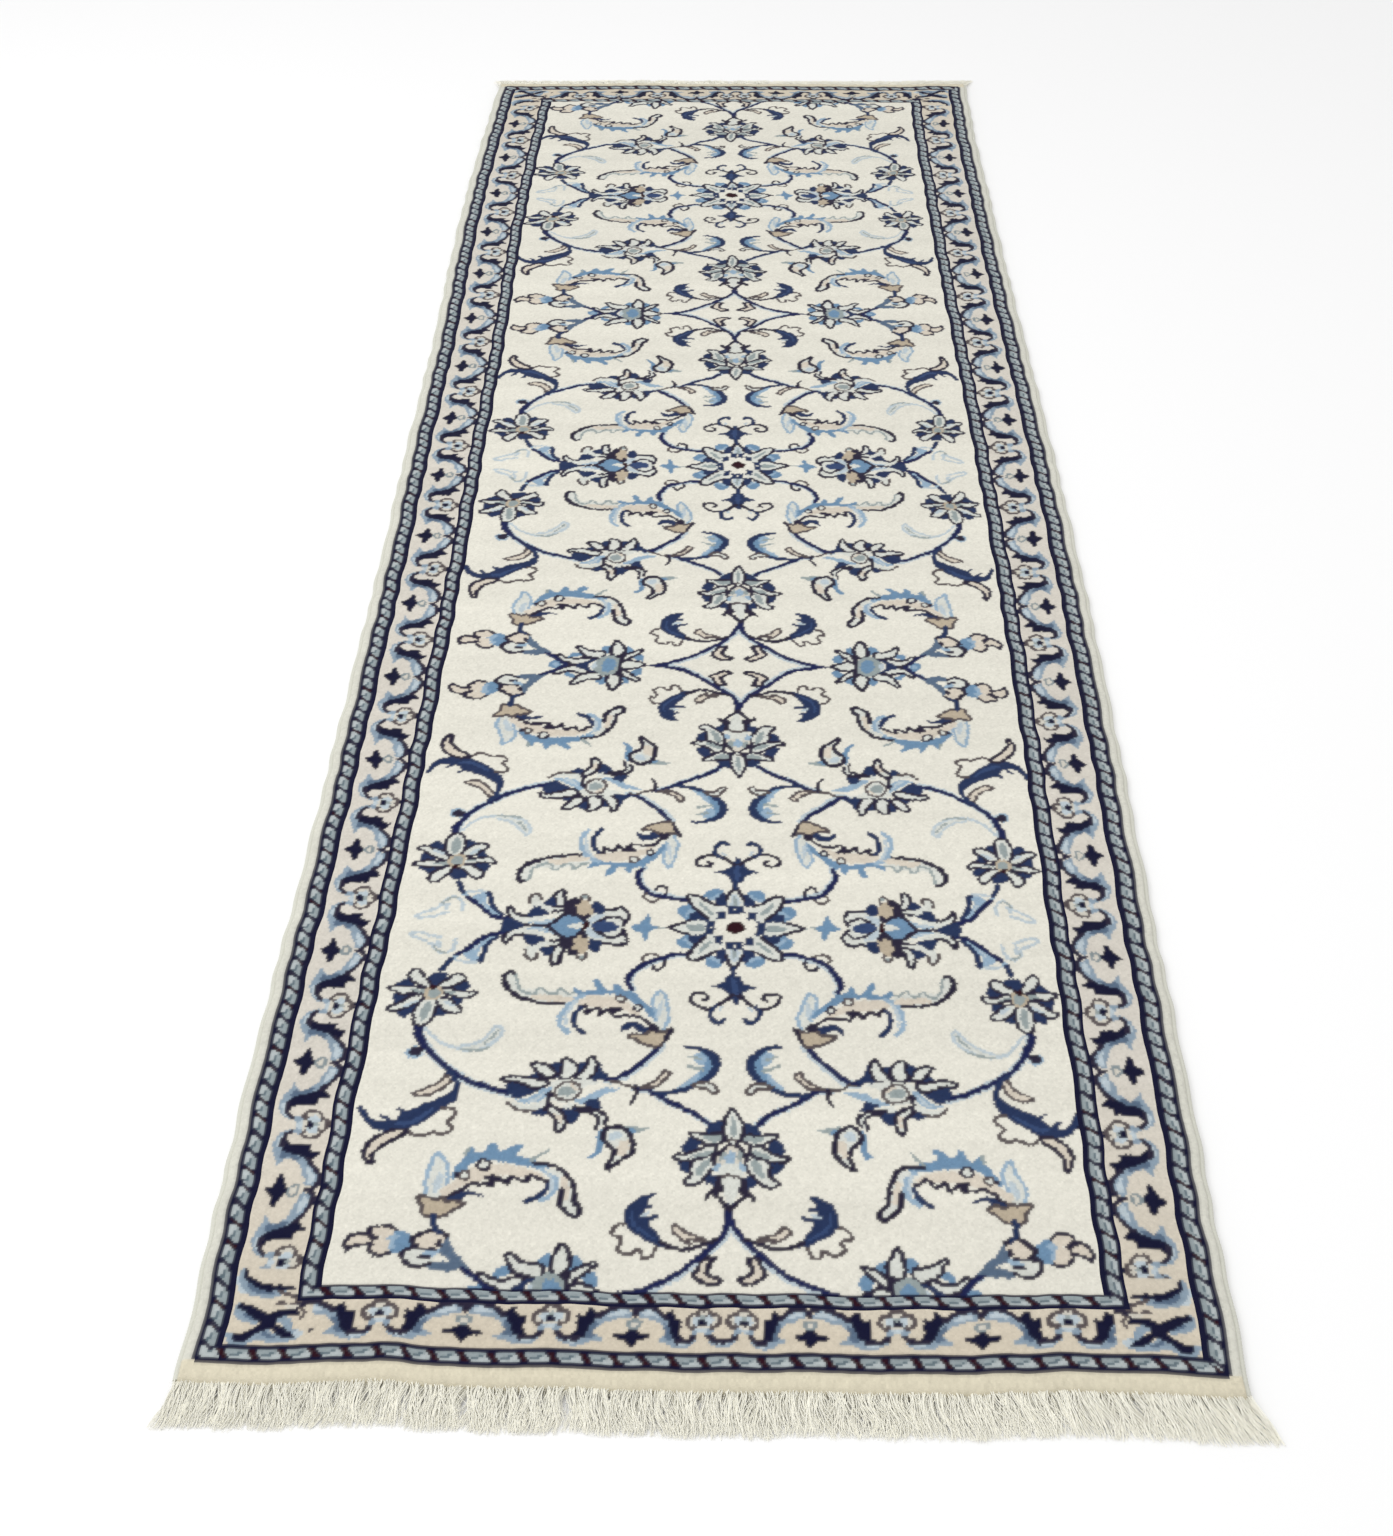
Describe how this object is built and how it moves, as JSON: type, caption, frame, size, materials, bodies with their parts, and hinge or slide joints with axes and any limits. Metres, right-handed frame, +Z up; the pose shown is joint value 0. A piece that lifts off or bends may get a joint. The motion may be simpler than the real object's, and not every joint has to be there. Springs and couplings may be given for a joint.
{
  "type": "runner rug",
  "caption": "Long narrow knotted-pile runner rug with a floral field, a vine border between striped guards, overcast sides and a cotton fringe at each end.",
  "frame": {"origin": "centre of the underside, on the floor", "axes": "+Z up out of the pile; Y runs along the rug, with the front fringe at -Y and the back fringe at +Y; X runs across it, with the right selvedge at +X"},
  "size_m": [0.825, 2.4572, 0.01],
  "materials": {
    "field_pile": "sheared wool pile",
    "plain_pile": "sheared wool pile",
    "border_pile": "sheared wool pile",
    "guard_pile": "sheared wool pile",
    "selvedge_wool": "overcast wool",
    "fringe_cotton": "twisted cotton",
    "ground_cotton": "plain-woven cotton"
  },
  "bodies": {
    "root": {"woven_ground": "ground_cotton", "selvedge_wrap_left": "selvedge_wool", "selvedge_cable_left": "ground_cotton", "selvedge_wrap_right": "selvedge_wool", "selvedge_cable_right": "ground_cotton", "outer_band_left": "plain_pile", "outer_band_front": "plain_pile", "outer_band_right": "plain_pile", "outer_band_back": "plain_pile", "outer_guard_left": "guard_pile", "outer_guard_front": "guard_pile", "outer_guard_right": "guard_pile", "outer_guard_back": "guard_pile", "main_border_left": "border_pile", "main_border_front": "border_pile", "main_border_right": "border_pile", "main_border_back": "border_pile", "inner_guard_left": "guard_pile", "inner_guard_front": "guard_pile", "inner_guard_right": "guard_pile", "inner_guard_back": "guard_pile", "field_pile": "field_pile", "end_kilim_front": "ground_cotton", "end_twining_front": "ground_cotton", "fringe_front": "fringe_cotton", "end_kilim_back": "ground_cotton", "end_twining_back": "ground_cotton", "fringe_back": "fringe_cotton"}
  },
  "joints": []
}
